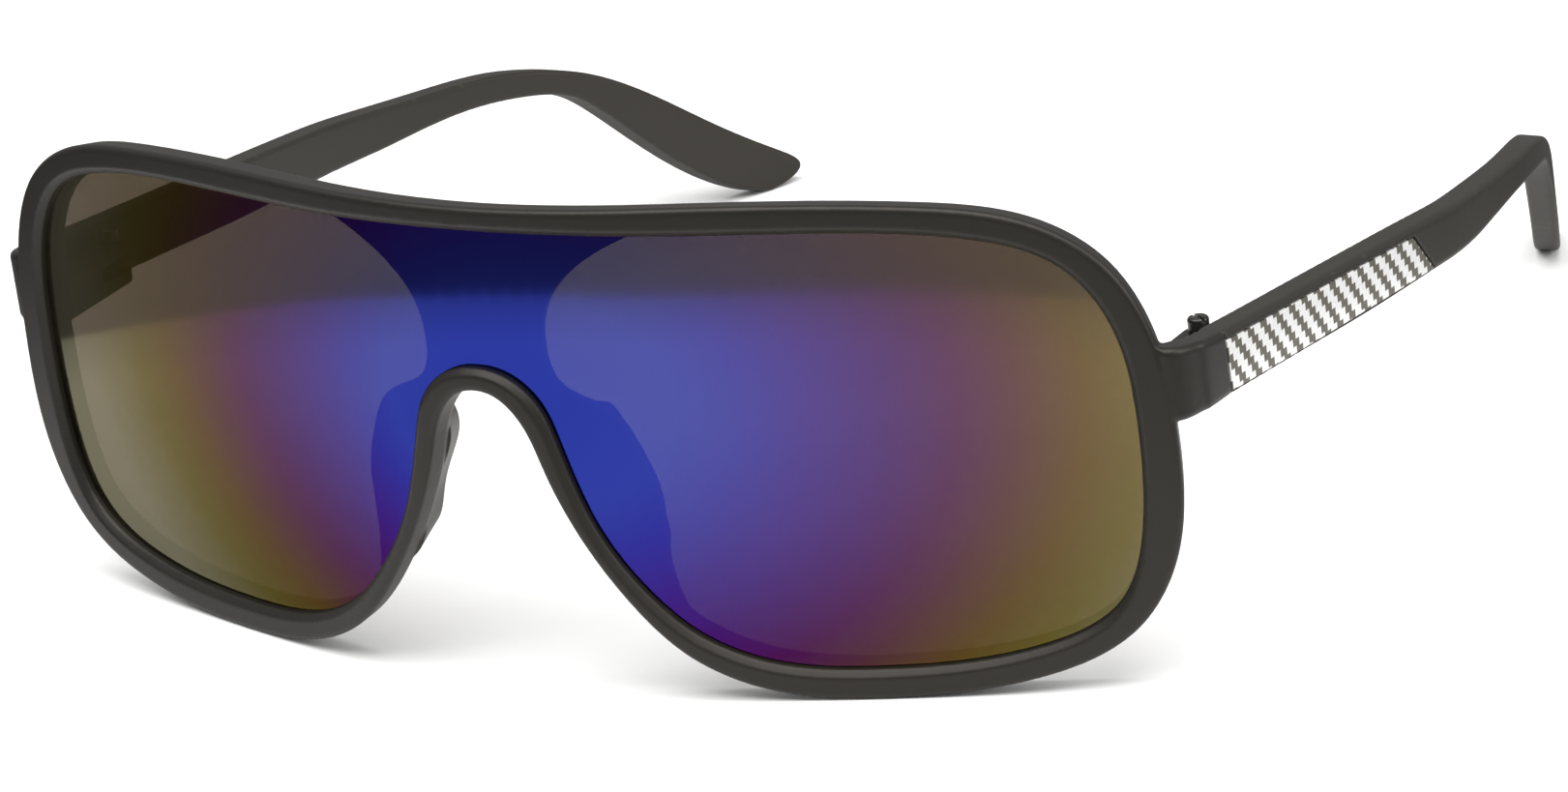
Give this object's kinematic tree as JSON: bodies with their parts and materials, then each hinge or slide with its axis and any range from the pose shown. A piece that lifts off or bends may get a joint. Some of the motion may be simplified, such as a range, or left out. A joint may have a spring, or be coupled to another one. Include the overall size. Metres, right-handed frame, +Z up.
{
  "type": "shield sunglasses",
  "caption": "Full-rim shield sunglasses with a one-piece mirrored lens, moulded nose pads and folding temples with patterned side plates.",
  "frame": {"origin": "middle of the footprint of the open glasses, at table level", "axes": "+X to the wearer's left, +Y back along the temples, +Z up"},
  "size_m": [0.1492, 0.1456, 0.0548],
  "materials": {
    "frame_plastic": "matte black moulded plastic",
    "temple_plastic": "matte black moulded plastic",
    "lens": "mirror-coated tinted polycarbonate, blue to bronze",
    "inlay_print": "woven-look print, dark grey and silver",
    "screw_steel": "blackened steel"
  },
  "bodies": {
    "front": {"front_frame": "frame_plastic", "shield_lens": "lens", "left_hinge_screw": "screw_steel", "right_hinge_screw": "screw_steel"},
    "left_temple": {"left_temple": "temple_plastic", "left_inlay": "inlay_print"},
    "right_temple": {"right_temple": "temple_plastic", "right_inlay": "inlay_print"}
  },
  "joints": [
    {"name": "left_temple_hinge", "type": "hinge", "parent": "front", "child": "left_temple", "pos_m": [0.069, -0.04068, 0.0315], "axis": [0, 0, 1], "range_deg": [0, 86]},
    {"name": "right_temple_hinge", "type": "hinge", "parent": "front", "child": "right_temple", "pos_m": [-0.069, -0.04068, 0.0315], "axis": [0, 0, -1], "range_deg": [0, 78]}
  ]
}
